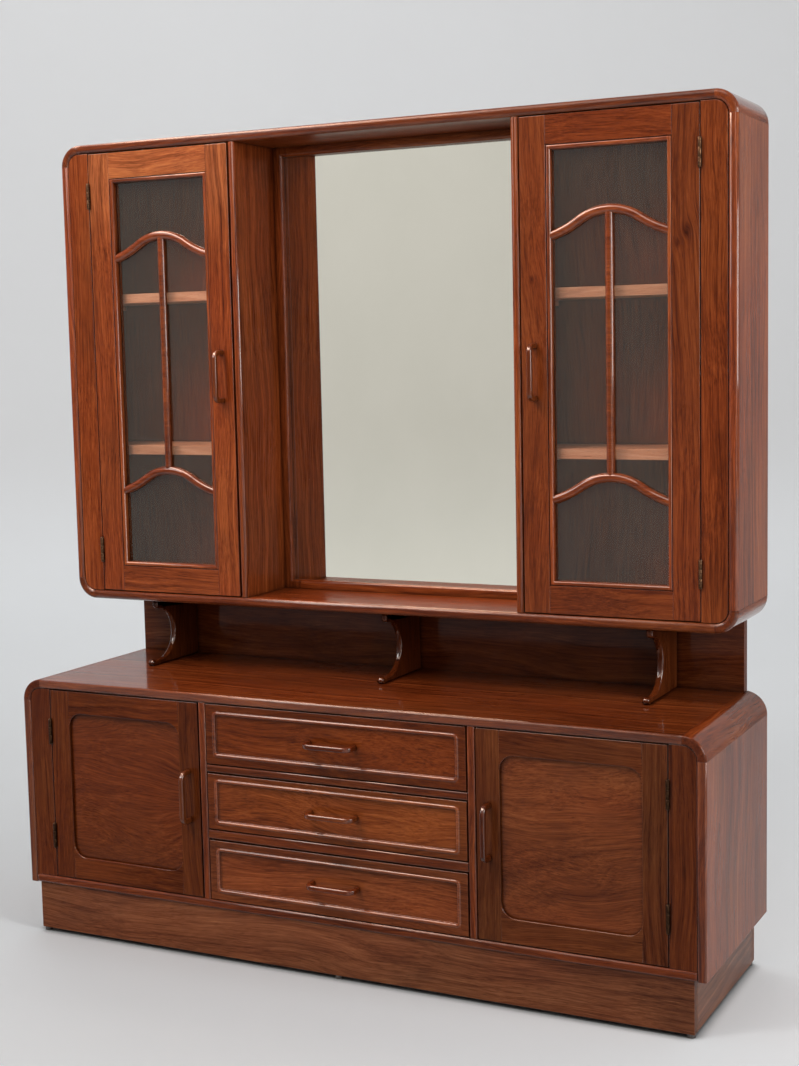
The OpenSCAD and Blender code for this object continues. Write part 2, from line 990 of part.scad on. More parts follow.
module upper_door_left_glass() {
  flip()
    upper_door_right_glass();
}

module upper_door_right_glass() {
  color("DimGray")
    slab([glass_x, glass_y, glass_z], [glass_x + glass_w, glass_y + glass_t, glass_z + glass_h]);
}

module upper_door_left_beads() {
  flip()
    upper_door_right_beads();
}

module upper_door_right_beads() {
  back_bead_t = upper_door_t - glass_sink - glass_t;
  color(wood) {
    translate([glass_x, glass_y, glass_z])
      rotate([90, 0, 0])
        strip_frame(glass_w, glass_h, glass_bead_w, glass_sink)
          glass_bead_2d();
    translate([glass_x, upper_face + upper_door_t, glass_z])
      rotate([90, 0, 0])
        strip_frame(glass_w, glass_h, glass_bead_w, back_bead_t)
          square([glass_bead_w, back_bead_t]);
  }
}

// Section of the round strip in front of the glass
module glass_bead_2d() {
  r = glass_bead_w / 2;
  square([glass_bead_w, glass_sink - r]);
  translate([r, glass_sink - r])
    circle(r);
}

module upper_door_left_bars() {
  flip()
    upper_door_right_bars();
}

module upper_door_right_bars() {
  color(wood)
    translate([glass_mid_x, glass_y, 0])
      rotate([90, 0, 0])
        linear_extrude(bar_t)
          bars_2d();
}

// Front view of the bars: two waves with an upright bar between their crowns
module bars_2d() {
  for (z = [low_crown_z, high_crown_z])
    translate([0, z])
      wave_2d();
  translate([-bar_w / 2, low_crown_z])
    square([bar_w, high_crown_z - low_crown_z]);
}

// A wave with the middle of its crown at the origin
module wave_2d() {
  far = 3 * end_arc_r;
  side = far * sin(wave_steep);
  rise = far * cos(wave_steep);
  end_x = crown_run + end_arc_r * sin(wave_steep);
  end_z = end_arc_r * cos(wave_steep) - crown_fall;
  translate([0, -crown_r])
    intersection() {
      ring_2d(crown_r);
      polygon([[0, 0], [side, rise], [-side, rise]]);
    }
  for (s = [0, 1])
    mirror([s, 0])
      intersection() {
        translate([end_x, end_z])
          intersection() {
            ring_2d(end_arc_r);
            polygon([[0, 0], [-side, -rise], [0, -rise]]);
          }
        translate([0, -far])
          square([clear_half, 2 * far]);
      }
  for (s = [0, 1])
    mirror([s, 0])
      translate([0, -crown_r])
        rotate(-wave_steep)
          translate([-bar_splice, crown_r - bar_w / 2 + bar_splice])
            square([2 * bar_splice, bar_w - 2 * bar_splice]);
}

// A flat ring as wide as a bar
module ring_2d(r) {
  difference() {
    circle(r + bar_w / 2, $fn = 192);
    circle(r - bar_w / 2, $fn = 192);
  }
}

module upper_door_left_pull() {
  flip()
    upper_door_right_pull();
}

module upper_door_right_pull() {
  z = upper_door_z + upper_door_h / 2 - upper_pull_down;
  color(wood)
    translate([upper_door_x + upper_pull_in, upper_face, z])
      rotate([0, 90, 0])
        pull();
}

module upper_door_left_leaves() {
  flip()
    upper_door_right_leaves();
}

module upper_door_right_leaves() {
  color("Goldenrod")
    for (z = upper_hinge_z)
      translate([upper_axis_x, upper_face - barrel_out, z])
        door_leaf();
}

// A drawer front of the given height, centred on the origin, front to -y
module drawer_front(h) {
  difference() {
    translate([-front_w / 2, 0, -h / 2])
      cube([front_w, drawer_front_t, h]);
    translate([-bead_ring_w / 2, -cut, -bead_ring_h / 2])
      cube([bead_ring_w, field_sink + cut, bead_ring_h]);
  }
  rotate([90, 0, 0])
    bead_ring();
}

// A bead round a rectangle, lying flat with its round top up
module bead_ring() {
  run_x = bead_ring_w / 2 - bead_corner;
  run_y = bead_ring_h / 2 - bead_corner;
  for (s = [-1, 1]) {
    translate([-run_x, s * bead_ring_h / 2, 0])
      rotate([90, 0, 90])
        linear_extrude(2 * run_x)
          bead_2d();
    translate([s * bead_ring_w / 2, run_y, 0])
      rotate([90, 0, 0])
        linear_extrude(2 * run_y)
          bead_2d();
  }
  for (sx = [0, 1])
    for (sy = [0, 1])
      mirror([sx, 0, 0])
        mirror([0, sy, 0])
          translate([run_x, run_y, 0])
            rotate_extrude(angle = 90)
              translate([bead_corner, 0])
                bead_2d();
}

// Section of the bead: round on top, its foot set into the drawer front
module bead_2d() {
  r = bead_w / 2;
  translate([0, bead_up - r])
    circle(r);
  translate([-r, -bead_down])
    square([bead_w, bead_down + bead_up - r]);
}

// Sides, back and bottom of a drawer above the given height
module drawer_box(z) {
  z0 = z + drawer_float;
  y1 = box_y + drawer_len;
  bottom_z = z0 + drawer_bottom_up;
  in_x = box_half - drawer_side_t;
  pair()
    slab([in_x, box_y, z0], [box_half, y1, z0 + drawer_side_h]);
  slab([-in_x, y1 - drawer_side_t, z0], [in_x, y1, z0 + drawer_side_h]);
  slab([-in_x, box_y, bottom_z], [in_x, y1 - drawer_side_t, bottom_z + drawer_bottom_t]);
}

module drawer_high_front() {
  color(wood)
    translate([0, base_face, high_bay_z + rest_bay_h / 2])
      drawer_front(rest_front_h);
}

module drawer_high_box() {
  color(pale_wood)
    drawer_box(high_bay_z);
}

module drawer_high_pull() {
  color(wood)
    translate([0, base_face + field_sink, high_bay_z + rest_bay_h / 2])
      pull();
}

module drawer_mid_front() {
  color(wood)
    translate([0, base_face, mid_bay_z + mid_bay_h / 2])
      drawer_front(mid_front_h);
}

module drawer_mid_box() {
  color(pale_wood)
    drawer_box(mid_bay_z);
}

module drawer_mid_pull() {
  color(wood)
    translate([0, base_face + field_sink, mid_bay_z + mid_bay_h / 2])
      pull();
}

module drawer_low_front() {
  color(wood)
    translate([0, base_face, low_bay_z + rest_bay_h / 2])
      drawer_front(rest_front_h);
}

module drawer_low_box() {
  color(pale_wood)
    drawer_box(low_bay_z);
}

module drawer_low_pull() {
  color(wood)
    translate([0, base_face + field_sink, low_bay_z + rest_bay_h / 2])
      pull();
}

glides();
plinth_long_boards();
plinth_side_boards();
base_bottom();
base_sides();
base_corners();
base_top();
base_back();
base_partitions();
drawer_rails();
drawer_runners();
upright_stiles();
riser_board();
brackets();
upper_bottom();
upper_sides();
upper_corners();
upper_top();
upper_partitions();
upper_back();
shelves();
shelf_battens();
mirror_glass();
mirror_beads();
door_stops();
hinge_frame_leaves();
hinge_pins();
base_door_left_stiles();
base_door_left_rails();
base_door_left_panel();
base_door_left_pull();
base_door_left_leaves();
base_door_right_stiles();
base_door_right_rails();
base_door_right_panel();
base_door_right_pull();
base_door_right_leaves();
upper_door_left_stiles();
upper_door_left_rails();
upper_door_left_glass();
upper_door_left_beads();
upper_door_left_bars();
upper_door_left_pull();
upper_door_left_leaves();
upper_door_right_stiles();
upper_door_right_rails();
upper_door_right_glass();
upper_door_right_beads();
upper_door_right_bars();
upper_door_right_pull();
upper_door_right_leaves();
drawer_high_front();
drawer_high_box();
drawer_high_pull();
drawer_mid_front();
drawer_mid_box();
drawer_mid_pull();
drawer_low_front();
drawer_low_box();
drawer_low_pull();
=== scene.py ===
"""Dressing table: low cabinet with drawers and doors, wall cabinet with mirror and glazed doors."""

import math

import bmesh
import bpy
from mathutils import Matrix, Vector


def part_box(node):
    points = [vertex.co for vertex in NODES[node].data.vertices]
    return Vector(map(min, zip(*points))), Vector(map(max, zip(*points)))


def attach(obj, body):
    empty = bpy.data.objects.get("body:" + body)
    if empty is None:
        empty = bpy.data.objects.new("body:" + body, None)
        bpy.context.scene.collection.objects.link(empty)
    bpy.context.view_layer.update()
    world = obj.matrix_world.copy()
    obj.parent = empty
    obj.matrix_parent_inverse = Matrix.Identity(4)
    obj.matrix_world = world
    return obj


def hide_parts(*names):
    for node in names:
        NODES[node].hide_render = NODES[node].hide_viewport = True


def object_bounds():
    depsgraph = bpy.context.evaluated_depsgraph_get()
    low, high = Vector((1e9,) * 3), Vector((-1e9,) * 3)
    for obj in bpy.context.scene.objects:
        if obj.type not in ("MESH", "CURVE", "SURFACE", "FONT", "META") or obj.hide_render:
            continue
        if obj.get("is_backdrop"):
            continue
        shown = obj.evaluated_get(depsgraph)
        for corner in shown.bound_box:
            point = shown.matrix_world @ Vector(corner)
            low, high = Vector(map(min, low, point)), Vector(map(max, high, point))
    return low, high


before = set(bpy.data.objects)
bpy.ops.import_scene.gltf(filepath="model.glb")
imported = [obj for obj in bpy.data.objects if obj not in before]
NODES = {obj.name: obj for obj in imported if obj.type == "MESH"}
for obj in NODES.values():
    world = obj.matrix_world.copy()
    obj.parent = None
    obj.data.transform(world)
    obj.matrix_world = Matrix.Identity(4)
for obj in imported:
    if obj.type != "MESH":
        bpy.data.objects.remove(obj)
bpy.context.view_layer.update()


# Node helpers
class Tree:
    """Short names for the node calls that the materials use."""

    def __init__(self, name):
        self.mat = bpy.data.materials.new(name)
        self.mat.use_nodes = True
        self.tree = self.mat.node_tree
        self.tree.nodes.clear()
        self.out = self.node("ShaderNodeOutputMaterial")

    def node(self, kind, **props):
        n = self.tree.nodes.new(kind)
        for key, value in props.items():
            setattr(n, key, value)
        return n

    def put(self, socket, value):
        if isinstance(value, bpy.types.NodeSocket):
            self.tree.links.new(value, socket)
        elif isinstance(value, (tuple, list)) and len(value) == 3 and socket.type == "RGBA":
            socket.default_value = (*value, 1)
        else:
            socket.default_value = value

    def finish(self, shader):
        self.put(self.out.inputs["Surface"], shader)
        return self.mat

    def coordinate(self, name):
        return self.node("ShaderNodeTexCoord").outputs[name]

    def split(self, vector):
        """The three numbers of a vector, by axis letter."""
        n = self.node("ShaderNodeSeparateXYZ")
        self.put(n.inputs[0], vector)
        return {key: n.outputs[key] for key in "XYZ"}

    def join(self, numbers):
        n = self.node("ShaderNodeCombineXYZ")
        for i, number in enumerate(numbers):
            self.put(n.inputs[i], number)
        return n.outputs[0]

    def math(self, op, a, b=None, c=None):
        n = self.node("ShaderNodeMath", operation=op)
        for i, v in enumerate((a, b, c)):
            if v is not None:
                self.put(n.inputs[i], v)
        return n.outputs[0]

    def off(self, value, at):
        """How far the size of a number is from a given size."""
        return self.math("ABSOLUTE", self.math("SUBTRACT", self.math("ABSOLUTE", value), at))

    def vmath(self, op, a, b=None, scale=None):
        n = self.node("ShaderNodeVectorMath", operation=op)
        self.put(n.inputs[0], a)
        if b is not None:
            self.put(n.inputs[1], b)
        if scale is not None:
            self.put(n.inputs["Scale"], scale)
        return n.outputs["Value"] if op in ("DOT_PRODUCT", "LENGTH") else n.outputs[0]

    def noise(self, vector=None, scale=1.0, detail=3.0, rough=0.5, w=None, dims="3D"):
        n = self.node("ShaderNodeTexNoise", noise_dimensions=dims)
        if vector is not None:
            self.put(n.inputs["Vector"], vector)
        if w is not None:
            self.put(n.inputs["W"], w)
        n.inputs["Scale"].default_value = scale
        n.inputs["Detail"].default_value = detail
        n.inputs["Roughness"].default_value = rough
        return n.outputs["Fac"]

    def drawn(self, vector, stretch, detail=3.0, rough=0.5):
        """Noise with its own fineness along each axis."""
        return self.noise(self.vmath("MULTIPLY", vector, stretch), detail=detail, rough=rough)

    def span(self, value, a, b, lo=0.0, hi=1.0):
        n = self.node("ShaderNodeMapRange", interpolation_type="SMOOTHSTEP")
        self.put(n.inputs["Value"], value)
        for key, v in (("From Min", a), ("From Max", b), ("To Min", lo), ("To Max", hi)):
            n.inputs[key].default_value = v
        return n.outputs["Result"]

    def mix(self, fac, a, b, mode="MIX"):
        n = self.node("ShaderNodeMix", data_type="RGBA", blend_type=mode)
        self.put(n.inputs["Factor"], fac)
        self.put(n.inputs["A"], a)
        self.put(n.inputs["B"], b)
        return n.outputs["Result"]

    def shade(self, fac, colour, factors):
        """The colour times three factors, as far as fac says."""
        return self.mix(fac, colour, self.mix(1.0, colour, factors, "MULTIPLY"))

    def ramp(self, value, stops):
        n = self.node("ShaderNodeValToRGB")
        self.put(n.inputs["Fac"], value)
        line = n.color_ramp
        while len(line.elements) < len(stops):
            line.elements.new(0.5)
        for e, (pos, col) in zip(line.elements, stops):
            e.position = pos
            e.color = (*col, 1)
        return n.outputs["Color"]

    def bump(self, height, strength, distance, normal=None):
        n = self.node("ShaderNodeBump")
        n.inputs["Strength"].default_value = strength
        n.inputs["Distance"].default_value = distance
        self.put(n.inputs["Height"], height)
        if normal is not None:
            self.put(n.inputs["Normal"], normal)
        return n.outputs["Normal"]

    def rounded(self, radius, samples):
        """The normal of the surface as if its edges had this radius."""
        n = self.node("ShaderNodeBevel", samples=samples)
        n.inputs["Radius"].default_value = radius
        return n.outputs["Normal"]

    def nook(self, distance):
        """1 on open faces, less in corners and gaps nearer than the distance."""
        n = self.node("ShaderNodeAmbientOcclusion", samples=6)
        n.inputs["Distance"].default_value = distance
        return n.outputs["AO"]

    def edge_wear(self, radius):
        """1 on edges and 0 on flats, from a rounded normal set against the true one."""
        b = self.rounded(radius, 4)
        g = self.node("ShaderNodeNewGeometry")
        dot = self.vmath("DOT_PRODUCT", b, g.outputs["Normal"])
        return self.span(dot, 0.995, 0.86)


# Materials
AXES = {"X": ("Y", "Z", "X"), "Y": ("X", "Z", "Y"), "Z": ("X", "Y", "Z")}
# position in the grain and colour: dark lacquered wood, and the plain wood of backs, shelves and drawers
DARK_STOPS = [
    (0.05, (0.022, 0.0044, 0.0013)),
    (0.30, (0.070, 0.0143, 0.0037)),
    (0.52, (0.142, 0.0330, 0.0082)),
    (0.72, (0.210, 0.0565, 0.0145)),
    (0.95, (0.300, 0.0950, 0.0270)),
]
PLAIN_STOPS = [
    (0.10, (0.40, 0.17, 0.095)),
    (0.45, (0.62, 0.32, 0.19)),
    (0.70, (0.74, 0.43, 0.28)),
    (0.95, (0.82, 0.53, 0.36)),
]
# what the colour is multiplied by in red patches, pores and smoky clouds, by the painted shade in nooks,
# and on worn edges that also carry a painted highlight
REDDER = (1.25, 0.85, 0.75)
IN_PORES = (0.30, 0.25, 0.22)
SMOKY = (0.50, 0.50, 0.62)
NOOK_SHADE = (0.22, 0.19, 0.18)
WORN_AND_HIGHLIT_DARK = (1.9, 2.3, 3.0)
WORN_AND_HIGHLIT_PLAIN = (1.2, 1.25, 1.3)
# grain relief and wave height of the lacquer, in metres
RELIEF = 0.0006


def wood(
    name, axis, seed, tint=(1, 1, 1), light=1.0, streak=1.0, calm=1.0, wave=1.0, gloss=0.12, low=None,
    front=1.0, inside=None, knots=(), upright=None, plain=False, soft=0.0, edge=1.0, fade=None, seams=(),
):
    """Lacquered wood with its grain along one axis.

    seed = which place in the trunk the board is cut from.
    tint = factors on red, green and blue, light = a factor on all three.
    streak, calm and wave = strength of the growth rings, of the finer figure and of the grain's bends.
    gloss = lacquer on the flats, edge = lacquer on the edges, soft = radius over which it rounds them.
    upright = (centre x, half width): outside that band the grain is upright.
    low = (height, factor): boards under that height are darker, as painted shade.
    front = factor for faces that look forward.
    inside = (half x, low z, high z, factor): the frame outside that field is darker.
    knots = (x, z, radius) of each knot on a front face.
    fade = (z0, z1, factors): paler from z0 up to z1, a painted pool of light.
    seams = (axis, distance from zero) of planes where this board runs on flush into the next one.
    """
    t = Tree(name)
    where = t.split(t.coordinate("Object"))
    pick = dict(where)
    high = where["Z"]
    eye = None
    for kx, kz, kr in knots:
        # the fibres part and flow round the knot
        dx = t.math("SUBTRACT", pick["X"], kx)
        u = t.math("DIVIDE", dx, kr)
        v = t.math("DIVIDE", t.math("SUBTRACT", pick["Z"], kz), 1.7 * kr)
        far = t.math("ADD", t.math("MULTIPLY", u, u), t.math("MULTIPLY", v, v))
        near = t.math("DIVIDE", 1.0, t.math("ADD", 1.0, far))
        pick["X"] = t.math("MULTIPLY_ADD", dx, t.math("MULTIPLY", far, near), kx)
        spot = t.math("MULTIPLY", near, near)
        eye = spot if eye is None else t.math("ADD", eye, spot)

    base = t.join(pick[key] for key in AXES[axis])
    if upright is not None:
        centre, half = upright
        m = t.node("ShaderNodeMix", data_type="VECTOR")
        t.put(m.inputs["Factor"], t.math("GREATER_THAN", t.off(pick["X"], centre), half))
        t.put(m.inputs[4], base)
        t.put(m.inputs[5], t.join(pick[key] for key in AXES["Z"]))
        base = m.outputs[1]
    # each board is cut from another place in the trunk
    shift = (0.31 * seed + 0.05, 0.17 * seed - 0.4, 1.7 * seed)
    p = t.vmath("ADD", base, shift)

    # slow waves bend the grain
    slow = t.node("ShaderNodeTexNoise", noise_dimensions="3D")
    t.put(slow.inputs["Vector"], t.vmath("MULTIPLY", p, (3.2, 3.2, 1.5)))
    slow.inputs["Scale"].default_value = 1.0
    slow.inputs["Detail"].default_value = 2.0
    bend = t.vmath("SUBTRACT", slow.outputs["Color"], (0.5, 0.5, 0.5))
    q = t.vmath("ADD", p, t.vmath("SCALE", bend, scale=0.10 * wave))

    # growth rings round the trunk's middle, then the figure from broad to fine
    ring = t.vmath("LENGTH", t.vmath("MULTIPLY", q, (1, 1, 0.035)))
    band = t.noise(w=t.math("MULTIPLY", ring, 110.0), detail=5.0, rough=0.72, dims="1D")
    wide = t.drawn(q, (9, 9, 1.5), 2.0)
    vein = t.drawn(q, (130, 130, 3.6), 4.0, 0.6)
    fibre = t.drawn(q, (380, 380, 12), 3.0, 0.6)
    fine = t.drawn(q, (1100, 1100, 36), 2.0, 0.6)
    pore = t.span(t.drawn(q, (620, 620, 34), 1.0), 0.66, 0.76)
    tone = 0.5
    for part, share in (
        (band, 0.75 * streak), (wide, 0.55 * calm), (vein, 0.55 * calm), (fibre, 0.66), (fine, 0.40),
    ):
        tone = t.math("MULTIPLY_ADD", t.math("SUBTRACT", part, 0.5), share, tone)
    if eye is not None:
        tone = t.math("MULTIPLY_ADD", eye, -0.34, tone)
    stops = PLAIN_STOPS if plain else DARK_STOPS
    colour = t.ramp(tone, [(pos, [c * k * light for c, k in zip(col, tint)]) for pos, col in stops])

    # warmer and redder patches some decimetres long
    patch = t.drawn(p, (5.5, 5.5, 2.2), 2.0)
    colour = t.shade(t.span(patch, 0.35, 0.65, 0.0, 0.30), colour, REDDER)
    colour = t.shade(t.math("MULTIPLY", pore, 0.6), colour, IN_PORES)
    # darker smoky clouds, as old lacquer has
    cloud = t.drawn(p, (16, 16, 6), 3.0, 0.6)
    colour = t.shade(t.span(cloud, 0.50, 0.72, 0.0, 0.42 * calm), colour, SMOKY)
    # painted shade: darker below the given height
    if low is not None:
        below, factor = low
        colour = t.shade(t.math("LESS_THAN", high, below), colour, (factor,) * 3)
    # painted pool of light: paler in a band of height
    if fade is not None:
        start, end, factors = fade
        colour = t.shade(t.span(high, start, end), colour, factors)
    if inside is not None:
        half, z0, z1, factor = inside
        out_x = t.math("SUBTRACT", t.math("ABSOLUTE", where["X"]), half)
        out_z = t.math("MAXIMUM", t.math("SUBTRACT", z0, high), t.math("SUBTRACT", high, z1))
        rim = t.span(t.math("MAXIMUM", out_x, out_z), 0.0, 0.002)
        colour = t.shade(rim, colour, (factor,) * 3)
    if front != 1.0:
        facing = t.split(t.coordinate("Normal"))["Y"]
        colour = t.shade(t.span(facing, -0.3, -0.95), colour, (front,) * 3)
    # painted shade darkens the inner corners and the gaps
    colour = t.shade(t.span(t.nook(0.012), 0.92, 0.35, 0.0, 0.80), colour, NOOK_SHADE)
    # edges are rubbed paler and carry a painted highlight, but not where a board runs on flush into the
    # next one
    wear = t.edge_wear(0.0022)
    rub = t.drawn(p, (30, 30, 30), 2.0)
    wear = t.math("MULTIPLY", wear, t.span(rub, 0.35, 0.7, 0.20, 0.65))
    gaps = [(key, t.off(where[key], at)) for key, at in seams]
    for _, gap in gaps:
        wear = t.math("MULTIPLY", wear, t.span(gap, 0.0020, 0.0040))
    colour = t.shade(wear, colour, WORN_AND_HIGHLIT_PLAIN if plain else WORN_AND_HIGHLIT_DARK)

    s = t.node("ShaderNodeBsdfPrincipled")
    t.put(s.inputs["Base Color"], colour)
    smear = t.drawn(p, (7, 7, 4), 3.0)
    if plain:
        rough = t.math("MULTIPLY_ADD", fibre, 0.18, t.span(smear, 0.3, 0.7, 0.42, 0.52))
    else:
        rough = t.math("MULTIPLY_ADD", fibre, 0.14, t.span(smear, 0.3, 0.7, 0.20, 0.28))
    t.put(s.inputs["Roughness"], t.math("MULTIPLY_ADD", wear, 0.12, rough))
    s.inputs["Specular IOR Level"].default_value = 0.20 if plain else 0.02
    s.inputs["Coat Roughness"].default_value = 0.22 if plain else 0.08
    s.inputs["Coat IOR"].default_value = 1.52
    coat_normal = None
    if plain:
        s.inputs["Coat Weight"].default_value = 0.15
    else:
        # lacquer runs together on the rounded edges and lies thin on the flats
        normal = t.coordinate("Normal")
        if soft:
            lean = t.split(t.rounded(soft, 6))
            # nothing is rounded across a flush seam
            for key, gap in gaps:
                lean[key] = t.math("MULTIPLY", lean[key], t.span(gap, 0.1 * soft, 1.1 * soft))
            normal = coat_normal = t.vmath("NORMALIZE", t.join(lean.values()))
        sides = t.split(t.vmath("ABSOLUTE", normal))
        most = t.math("MAXIMUM", t.math("MAXIMUM", sides["X"], sides["Y"]), sides["Z"])
        coat = t.math("MULTIPLY_ADD", smear, 0.10, t.span(most, 0.995, 0.92, gloss, edge))
        t.put(s.inputs["Coat Weight"], coat)
    ridges = t.math("MULTIPLY_ADD", fibre, 0.5, t.math("MULTIPLY", fine, 0.35))
    grain = t.math("SUBTRACT", ridges, t.math("MULTIPLY", pore, 0.6))
    t.put(s.inputs["Normal"], t.bump(grain, 0.30, RELIEF))
    # the lacquer itself lies in very slight waves
    ripple = t.drawn(p, (38, 38, 16), 1.0)
    film = t.math("MULTIPLY_ADD", fibre, 0.06, ripple)
    t.put(s.inputs["Coat Normal"], t.bump(film, 0.014, RELIEF, coat_normal))
    return t.finish(s.outputs[0])


def brass():
    """Aged brass; the hinges of the low doors are blacker."""
    low_top = 0.7
    t = Tree("brass_old")
    p = t.coordinate("Object")
    dull = t.noise(p, 260.0, 4.0)
    scratch = t.drawn(p, (1800, 1800, 160), 2.0)
    wear = t.edge_wear(0.0006)
    col = t.mix(t.span(dull, 0.35, 0.7), (0.11, 0.062, 0.034), (0.045, 0.025, 0.015))
    col = t.mix(t.math("MULTIPLY", wear, 0.6), col, (0.50, 0.38, 0.27))
    col = t.shade(t.math("LESS_THAN", t.split(p)["Z"], low_top), col, (0.42, 0.40, 0.40))
    s = t.node("ShaderNodeBsdfPrincipled")
    t.put(s.inputs["Base Color"], col)
    s.inputs["Metallic"].default_value = 1.0
    t.put(s.inputs["Roughness"], t.math("MULTIPLY_ADD", scratch, 0.2, t.span(dull, 0.3, 0.7, 0.26, 0.48)))
    t.put(s.inputs["Normal"], t.bump(scratch, 0.15, 0.0002))
    return t.finish(s.outputs[0])


def foot_plastic():
    """Dusty black plastic of the glides."""
    t = Tree("foot_plastic")
    p = t.coordinate("Object")
    dust = t.noise(p, 120.0, 4.0)
    pit = t.noise(p, 1500.0, 2.0)
    wear = t.edge_wear(0.0008)
    col = t.mix(t.span(dust, 0.4, 0.75), (0.030, 0.028, 0.027), (0.075, 0.07, 0.064))
    col = t.mix(t.math("MULTIPLY", wear, 0.4), col, (0.12, 0.115, 0.11))
    s = t.node("ShaderNodeBsdfPrincipled")
    t.put(s.inputs["Base Color"], col)
    t.put(s.inputs["Roughness"], t.span(dust, 0.3, 0.8, 0.45, 0.62))
    t.put(s.inputs["Normal"], t.bump(pit, 0.25, 0.0003))
    return t.finish(s.outputs[0])


def mirror():
    """Old mirror glass with a warm tint, fine dust and slow waves."""
    t = Tree("mirror_silver")
    p = t.coordinate("Object")
    haze = t.drawn(p, (6, 6, 4), 3.0)
    dust = t.noise(p, 420.0, 3.0)
    wear = t.edge_wear(0.002)
    col = t.mix(t.span(haze, 0.3, 0.75), (0.80, 0.767, 0.662), (0.775, 0.745, 0.640))
    col = t.mix(t.math("MULTIPLY", wear, 0.5), col, (0.55, 0.60, 0.55))
    s = t.node("ShaderNodeBsdfPrincipled")
    t.put(s.inputs["Base Color"], col)
    s.inputs["Metallic"].default_value = 1.0
    t.put(s.inputs["Roughness"], t.span(dust, 0.45, 0.8, 0.015, 0.05))
    t.put(s.inputs["Normal"], t.bump(haze, 0.02, 0.002))
    return t.finish(s.outputs[0])


def smoky_glass():
    """Tinted pane: light goes straight through with the tint, and the outer face mirrors the room."""
    haze_share = 0.045
    t = Tree("smoky_glass")
    p = t.coordinate("Object")
    cloud = t.drawn(p, (5, 5, 3), 2.0)
    dust = t.drawn(p, (26, 26, 9), 2.0)
    wear = t.edge_wear(0.0015)
    through = t.node("ShaderNodeBsdfTransparent")
    tint = t.mix(t.span(cloud, 0.3, 0.7), (0.94, 0.92, 0.895), (0.92, 0.905, 0.88))
    t.put(through.inputs["Color"], t.mix(wear, tint, (0.45, 0.5, 0.48)))
    face = t.node("ShaderNodeBsdfGlossy")
    t.put(face.inputs["Color"], t.mix(t.span(dust, 0.4, 0.8), (0.98, 1.0, 0.97), (0.86, 0.88, 0.85)))
    t.put(face.inputs["Roughness"], t.span(dust, 0.3, 0.7, 0.03, 0.06))
    ripple = t.bump(t.drawn(p, (9, 9, 6), 1.0), 0.04, 0.002)
    t.put(face.inputs["Normal"], ripple)
    # a face seen from inside the pane mirrors nothing, so light gets out
    bounce = t.node("ShaderNodeFresnel")
    bounce.inputs["IOR"].default_value = 1.52
    t.put(bounce.inputs["Normal"], ripple)
    g = t.node("ShaderNodeNewGeometry")
    outer = t.math("SUBTRACT", 1.0, g.outputs["Backfacing"])
    veil = t.node("ShaderNodeMixShader")
    t.put(veil.inputs[0], t.math("MULTIPLY", bounce.outputs[0], outer))
    t.put(veil.inputs[1], through.outputs[0])
    t.put(veil.inputs[2], face.outputs[0])
    haze = t.node("ShaderNodeBsdfDiffuse")
    t.put(haze.inputs["Color"], t.mix(cloud, (0.145, 0.137, 0.100), (0.190, 0.158, 0.115)))
    both = t.node("ShaderNodeMixShader")
    both.inputs[0].default_value = haze_share
    t.put(both.inputs[1], veil.outputs[0])
    t.put(both.inputs[2], haze.outputs[0])
    return t.finish(both.outputs[0])


# Dress the frame's solids
def dress(node, mat):
    me = NODES[node].data
    if not me.materials:
        me.materials.append(mat)
    for i in range(len(me.materials)):
        me.materials[i] = mat


# planes where the rounded corner blocks run on flush into boards and sides
BASE_SEAM_X = ("X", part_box("base_top")[1].x)
BASE_SEAM_Z = ("Z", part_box("base_sides")[1].z)
UPPER_SEAM_X = ("X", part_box("upper_top")[1].x)
UPPER_SEAMS_Z = [("Z", corner.z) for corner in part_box("upper_sides")]
# the plinth's greyer tint is partly a painted reflection of the pale floor
PLINTH_TINT_AND_SHEEN = (0.92, 1.38, 2.3)
# grain axis and settings of every board of dark wood
GRAIN = {
    "plinth_long_boards": ("X", dict(light=0.72, streak=0.7, tint=PLINTH_TINT_AND_SHEEN)),
    "plinth_side_boards": ("Y", dict(light=0.70, streak=0.7, gloss=0.30, tint=PLINTH_TINT_AND_SHEEN)),
    "base_bottom": ("X", dict(light=0.75, front=0.85, soft=0.007)),
    "base_sides": ("Z", dict(light=0.80, front=0.66, gloss=0.38, seams=[BASE_SEAM_Z])),
    "base_corners": ("Y", dict(
        light=0.80, streak=0.6, front=0.62, edge=0.5, seams=[BASE_SEAM_X, BASE_SEAM_Z],
    )),
    "base_top": ("X", dict(light=0.55, streak=1.7, gloss=0.55, soft=0.008, seams=[BASE_SEAM_X])),
    "base_partitions": ("Z", dict(light=0.8)),
    "drawer_rails": ("X", dict(light=0.50)),
    # the low stiles are darker as painted shade
    "upright_stiles": ("Z", dict(light=0.78, low=(0.7, 0.50), gloss=0.05)),
    # the riser and the brackets are darker as painted shade under the wall cabinet
    "riser_board": ("X", dict(light=0.50)),
    "brackets": ("Z", dict(light=0.40, streak=0.6)),
    "upper_bottom": ("X", dict(light=0.9, front=0.66, soft=0.010, seams=[UPPER_SEAM_X])),
    "upper_sides": ("Z", dict(light=1.0, gloss=0.27, seams=UPPER_SEAMS_Z)),
    "upper_corners": ("Y", dict(
        light=0.88, front=0.70, streak=0.6, soft=0.009, edge=0.85, seams=[UPPER_SEAM_X, *UPPER_SEAMS_Z],
    )),
    "upper_top": ("X", dict(light=0.9, front=0.62, soft=0.010, seams=[UPPER_SEAM_X])),
    "upper_partitions": ("Z", dict(light=0.92, gloss=0.06)),
    "upper_back": ("Z", dict(light=0.95, streak=0.25, calm=0.5)),
    "mirror_beads": ("X", dict(light=0.95, upright=(0.0, 0.285), edge=0.5)),
}
